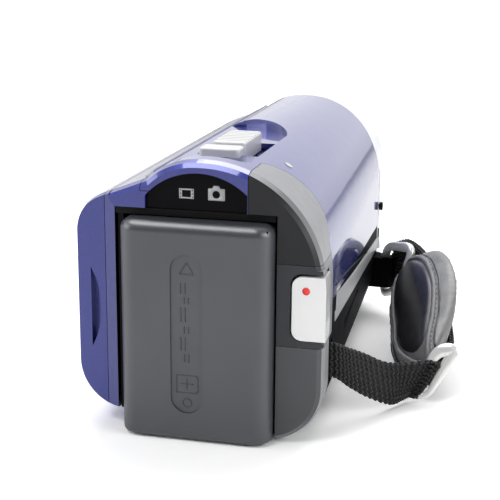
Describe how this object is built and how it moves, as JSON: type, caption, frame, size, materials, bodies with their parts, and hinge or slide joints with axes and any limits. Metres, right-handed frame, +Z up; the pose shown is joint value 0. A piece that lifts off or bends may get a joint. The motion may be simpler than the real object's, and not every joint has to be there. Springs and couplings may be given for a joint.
{
  "type": "camcorder",
  "caption": "Pocket camcorder with a rear slide-in battery, a side-hinged display, a sliding zoom lever, a rear record button, a shuttered lens and a padded hand strap.",
  "frame": {"origin": "mouth of the tripod socket, in the flat bottom face", "axes": "+X to the hand strap (right, seen from behind), +Y to the lens, +Z up"},
  "size_m": [0.0764, 0.1235, 0.0575],
  "materials": {
    "blue_cover": "deep metallic blue, glossy",
    "grey_cover": "dark grey, satin",
    "battery_grey": "mid grey, satin",
    "black_plastic": "black, matt",
    "black_gloss": "black, glossy",
    "silver_plastic": "silver lacquer, satin",
    "bright_steel": "polished steel",
    "chassis_metal": "bare pressed sheet",
    "contact_brass": "plated contacts",
    "cell_foil": "foil-wrapped cells",
    "lens_glass": "clear, coated",
    "screen_glass": "clear cover",
    "circuit_board": "green board",
    "chip_black": "moulded chip",
    "lamp_lens": "frosted lamp lens",
    "pad_leather": "black and grey leather",
    "webbing": "black woven webbing"
  },
  "bodies": {
    "camera": {"top_cover": "blue_cover", "left_cover": "blue_cover", "right_cover": "grey_cover", "record_panel": "grey_cover", "rear_foot": "grey_cover", "lower_housing": "grey_cover", "battery_bay": "black_plastic", "mode_window": "black_gloss", "top_trim": "grey_cover", "front_ring": "silver_plastic", "front_bezel": "black_plastic", "shutter_plate": "black_plastic", "lens_barrel": "black_plastic", "front_lens": "lens_glass", "rear_lens": "lens_glass", "zoom_motor": "bright_steel", "sensor_board": "circuit_board", "sensor_chip": "chip_black", "chassis_frame": "chassis_metal", "main_board": "circuit_board", "board_chips": "chip_black", "tripod_bush": "bright_steel", "speaker": "black_plastic", "card_slot": "chassis_metal", "switch_board": "circuit_board", "jack_block": "black_plastic", "battery_terminals": "contact_brass", "indicator_lamps": "lamp_lens", "hinge_pins": "bright_steel", "guide_rods": "bright_steel", "microphones": "black_plastic", "housing_screws": "bright_steel", "strap_rings": "bright_steel", "strap_pad": "pad_leather", "strap_webbing_rear": "webbing", "strap_webbing_outer": "webbing"},
    "battery": {"battery_case": "battery_grey", "battery_lid": "battery_grey", "battery_cells": "cell_foil", "battery_contacts": "contact_brass"},
    "battery_latch": {"battery_latch": "black_plastic"},
    "display": {"display_shell": "blue_cover", "display_bezel": "black_plastic", "display_glass": "screen_glass", "display_module": "black_plastic", "display_barrel": "silver_plastic", "swivel_shaft": "bright_steel"},
    "cover_switch": {"cover_switch": "black_plastic"},
    "upper_blade": {"lens_blade_upper": "black_plastic"},
    "lower_blade": {"lens_blade_lower": "black_plastic"},
    "zoom_group": {"zoom_carrier": "black_plastic", "zoom_lens": "lens_glass"},
    "zoom_screw": {"zoom_screw": "bright_steel"},
    "zoom_lever": {"zoom_lever": "silver_plastic"},
    "photo_button": {"photo_button": "silver_plastic"},
    "record_button": {"record_button": "black_gloss"},
    "power_button": {"power_button": "silver_plastic"},
    "playback_button": {"playback_button": "silver_plastic"},
    "easy_button": {"easy_button": "silver_plastic"},
    "jack_cover": {"jack_cover": "grey_cover"}
  },
  "joints": [
    {"name": "display_open", "type": "hinge", "parent": "camera", "child": "display", "pos_m": [-0.02125, 0.033, 0.028], "axis": [0, 0, -1], "range_deg": [0, 90]},
    {"name": "battery_slide", "type": "slide", "parent": "camera", "child": "battery", "axis": [0, 0, -1], "range_m": [0, 0.046]},
    {"name": "battery_release", "type": "slide", "parent": "camera", "child": "battery_latch", "axis": [-1, 0, 0], "range_m": [0, 0.003], "stiffness_N_per_m": 300},
    {"name": "lens_cover_slide", "type": "slide", "parent": "camera", "child": "cover_switch", "axis": [0, 0, 1], "range_m": [0, 0.008]},
    {"name": "upper_blade_slide", "type": "slide", "parent": "camera", "child": "upper_blade", "axis": [0, 0, -1], "range_m": [0, 0.0098]},
    {"name": "lower_blade_slide", "type": "slide", "parent": "camera", "child": "lower_blade", "axis": [0, 0, 1], "range_m": [0, 0.0098]},
    {"name": "zoom_screw_turn", "type": "hinge", "parent": "camera", "child": "zoom_screw", "pos_m": [0, 0.014, 0.0184], "axis": [0, 1, 0], "range_deg": [0, 2160]},
    {"name": "zoom_slide", "type": "slide", "parent": "camera", "child": "zoom_group", "axis": [0, 1, 0], "range_m": [0, 0.012]},
    {"name": "zoom_lever_slide", "type": "slide", "parent": "camera", "child": "zoom_lever", "axis": [1, 0, 0], "range_m": [-0.0025, 0.0025], "stiffness_N_per_m": 300},
    {"name": "photo_press", "type": "slide", "parent": "camera", "child": "photo_button", "axis": [0, 0, -1], "range_m": [0, 0.0008], "stiffness_N_per_m": 800},
    {"name": "record_press", "type": "slide", "parent": "camera", "child": "record_button", "axis": [0, 1, 0], "range_m": [0, 0.0008], "stiffness_N_per_m": 800},
    {"name": "power_press", "type": "slide", "parent": "camera", "child": "power_button", "axis": [1, 0, 0], "range_m": [0, 0.0004], "stiffness_N_per_m": 800},
    {"name": "playback_press", "type": "slide", "parent": "camera", "child": "playback_button", "axis": [1, 0, 0], "range_m": [0, 0.0004], "stiffness_N_per_m": 800},
    {"name": "easy_press", "type": "slide", "parent": "camera", "child": "easy_button", "axis": [1, 0, 0], "range_m": [0, 0.0004], "stiffness_N_per_m": 800},
    {"name": "jack_cover_turn", "type": "hinge", "parent": "camera", "child": "jack_cover", "pos_m": [0.02294, -0.013, 0.0146], "axis": [0, -1, 0], "range_deg": [0, 90]}
  ],
  "couplings": [
    {"joint": "upper_blade_slide", "follows": "lens_cover_slide", "ratio": 1.225},
    {"joint": "lower_blade_slide", "follows": "lens_cover_slide", "ratio": 1.225},
    {"joint": "zoom_screw_turn", "follows": "zoom_slide", "rad_per_m": 3141.6}
  ]
}
